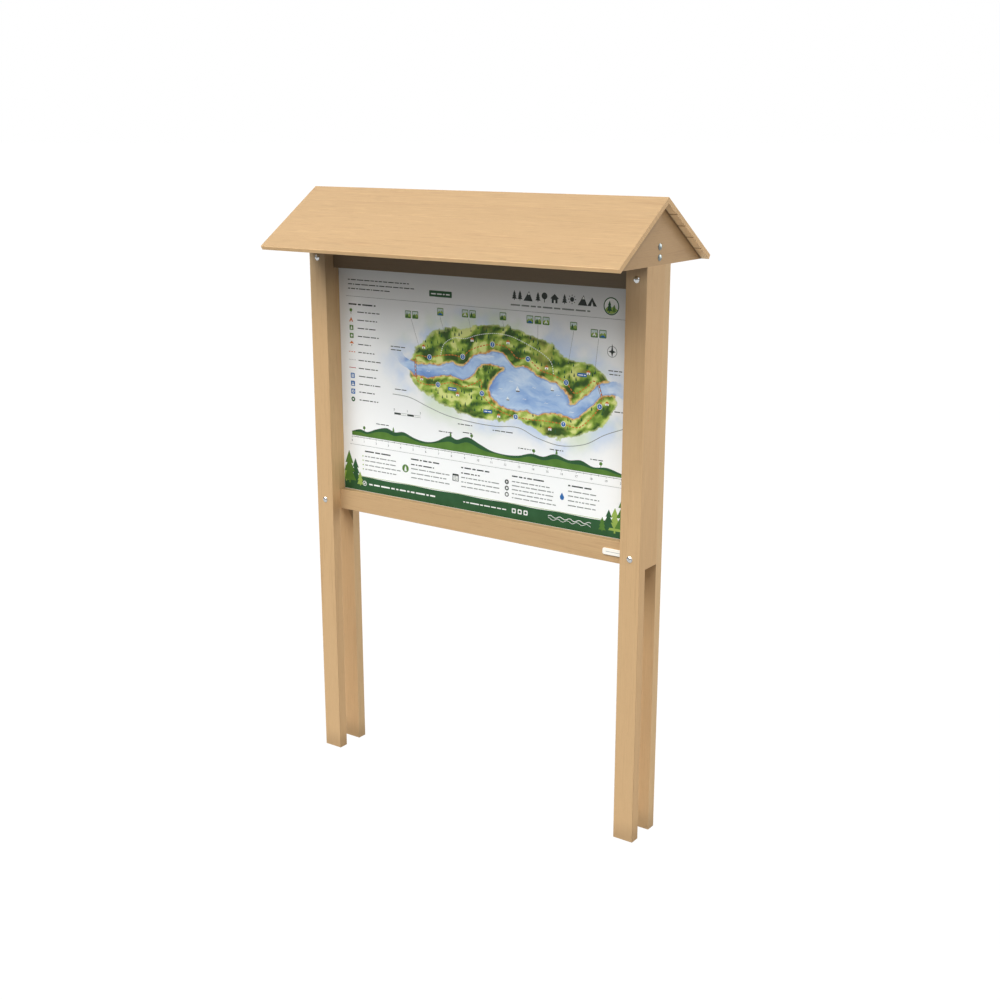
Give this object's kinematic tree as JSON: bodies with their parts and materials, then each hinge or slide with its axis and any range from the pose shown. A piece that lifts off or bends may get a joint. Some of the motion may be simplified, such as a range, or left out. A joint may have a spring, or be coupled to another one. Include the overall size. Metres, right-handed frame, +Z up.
{
  "type": "park interpretation sign",
  "caption": "Roofed park notice-board: a printed panel clamped by rails between two slotted plank legs, under a small boarded gable roof.",
  "frame": {"origin": "on the ground, midway between the two legs and midway through their depth", "axes": "+X to the right of a reader in front of the panel, +Y to the rear, +Z up"},
  "size_m": [1.35, 0.5464, 2.014],
  "materials": {
    "timber": "smooth planed, light tan, fine lengthwise grain",
    "roof_timber": "smooth planed, light tan, fine lengthwise grain",
    "panel": "satin printed laminate",
    "plate": "satin white, blank",
    "steel": "bright zinc plated"
  },
  "bodies": {
    "root": {"beam_screws": "steel", "bottom_front_rail": "timber", "bottom_rear_rail": "timber", "cleat_screws": "steel", "front_roof_board_1": "roof_timber", "front_roof_board_2": "roof_timber", "front_roof_board_3": "roof_timber", "front_roof_board_4": "roof_timber", "front_roof_board_5": "roof_timber", "gable_bolts": "steel", "info_panel": "panel", "label_plate": "plate", "left_filler_post": "timber", "left_front_cleat": "timber", "left_front_post": "timber", "left_gable": "timber", "left_rear_cleat": "timber", "left_rear_post": "timber", "post_bolts": "steel", "post_nuts": "steel", "post_washers": "steel", "rail_packers": "timber", "rail_screws": "steel", "rear_roof_board_1": "roof_timber", "rear_roof_board_2": "roof_timber", "rear_roof_board_3": "roof_timber", "rear_roof_board_4": "roof_timber", "rear_roof_board_5": "roof_timber", "right_filler_post": "timber", "right_front_cleat": "timber", "right_front_post": "timber", "right_gable": "timber", "right_rear_cleat": "timber", "right_rear_post": "timber", "roof_screws": "steel", "tie_beam": "timber", "top_front_rail": "timber", "top_rear_rail": "timber"}
  },
  "joints": []
}
